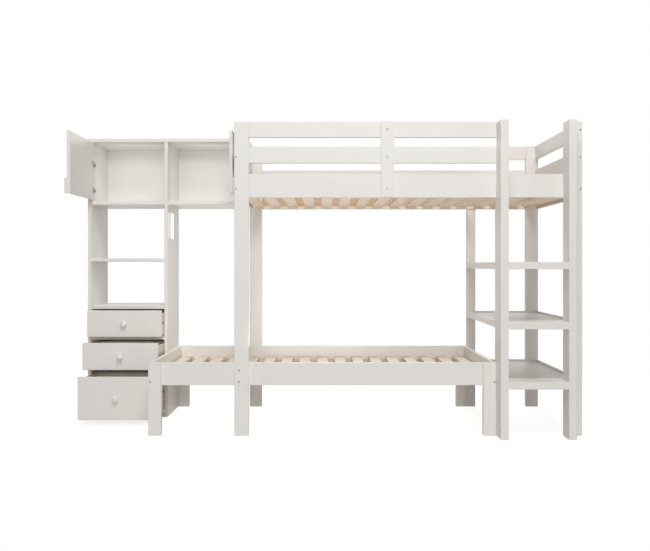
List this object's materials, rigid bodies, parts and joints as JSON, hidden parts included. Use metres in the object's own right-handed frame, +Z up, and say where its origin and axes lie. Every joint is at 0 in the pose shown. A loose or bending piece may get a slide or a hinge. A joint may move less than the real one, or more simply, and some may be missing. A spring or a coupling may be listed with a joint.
{
  "type": "bunk bed",
  "caption": "White wooden bunk bed with an offset lower bed, a cupboard and drawer column at one end and a ladder with shelf steps at the other.",
  "frame": {"origin": "on the floor, under the middle of the whole footprint", "axes": "+X along the beds to the ladder end, +Y to the back, +Z up"},
  "size_m": [3.1, 1.12, 1.86],
  "materials": {
    "white_paint": "satin white lacquer on solid wood",
    "pine": "bare planed pine",
    "drawer_board": "clear satin lacquer on pale board",
    "steel": "zinc plated steel",
    "knob_paint": "gloss white lacquer on turned wood",
    "light_shell": "white moulded plastic",
    "diffuser": "opal plastic"
  },
  "bodies": {
    "bed_frame": {"back_guard_middle": "white_paint", "back_guard_top": "white_paint", "back_side_rail": "white_paint", "cabinet_left_panel": "white_paint", "cabinet_middle_panel": "white_paint", "cabinet_plinth": "white_paint", "cabinet_right_panel": "white_paint", "cabinet_top": "white_paint", "cupboard_backs": "white_paint", "cupboard_floors": "white_paint", "drawer_dividers": "white_paint", "drawer_runners": "pine", "drawer_shelf": "white_paint", "frame_bolts": "steel", "front_guard_middle": "white_paint", "front_guard_top": "white_paint", "front_side_rail": "white_paint", "guard_stile": "white_paint", "hinge_arms": "steel", "inner_posts": "white_paint", "ladder_left_side": "white_paint", "ladder_right_side": "white_paint", "ladder_step_1": "white_paint", "ladder_step_2": "white_paint", "ladder_step_3": "white_paint", "left_end_rails": "white_paint", "light_box": "light_shell", "light_diffuser": "diffuser", "lower_back_legs": "white_paint", "lower_back_rail": "white_paint", "lower_end_rails": "white_paint", "lower_front_legs": "white_paint", "lower_front_rail": "white_paint", "lower_slat_cleats": "pine", "lower_slats": "pine", "open_shelf": "white_paint", "post_back_left": "white_paint", "post_back_right": "white_paint", "post_front_left": "white_paint", "post_front_right": "white_paint", "right_end_rails": "white_paint", "shelf_frames": "white_paint", "shelf_panels": "white_paint", "upper_slat_cleats": "pine", "upper_slats": "pine"},
    "left_door": {"door_left": "white_paint", "door_left_pull": "white_paint", "hinge_cups_left": "steel"},
    "right_door": {"door_right": "white_paint", "door_right_pull": "white_paint", "hinge_cups_right": "steel"},
    "top_drawer": {"drawer_top_front": "white_paint", "drawer_top_box": "drawer_board", "drawer_top_knob": "knob_paint"},
    "middle_drawer": {"drawer_middle_front": "white_paint", "drawer_middle_box": "drawer_board", "drawer_middle_knob": "knob_paint"},
    "bottom_drawer": {"drawer_bottom_front": "white_paint", "drawer_bottom_box": "drawer_board", "drawer_bottom_knob": "knob_paint"}
  },
  "joints": [
    {"name": "left_door_hinge", "type": "hinge", "parent": "bed_frame", "child": "left_door", "pos_m": [-1.5293, 0.138, 1.638], "axis": [0, 0, 1], "range_deg": [0, 90]},
    {"name": "right_door_hinge", "type": "hinge", "parent": "bed_frame", "child": "right_door", "pos_m": [-0.5327, 0.138, 1.638], "axis": [0, 0, -1], "range_deg": [0, 90]},
    {"name": "top_drawer_slide", "type": "slide", "parent": "bed_frame", "child": "top_drawer", "axis": [0, 1, 0], "range_m": [-0.205, 0.095]},
    {"name": "middle_drawer_slide", "type": "slide", "parent": "bed_frame", "child": "middle_drawer", "axis": [0, 1, 0], "range_m": [-0.105, 0.195]},
    {"name": "bottom_drawer_slide", "type": "slide", "parent": "bed_frame", "child": "bottom_drawer", "axis": [0, 1, 0], "range_m": [-0.005, 0.295]}
  ]
}
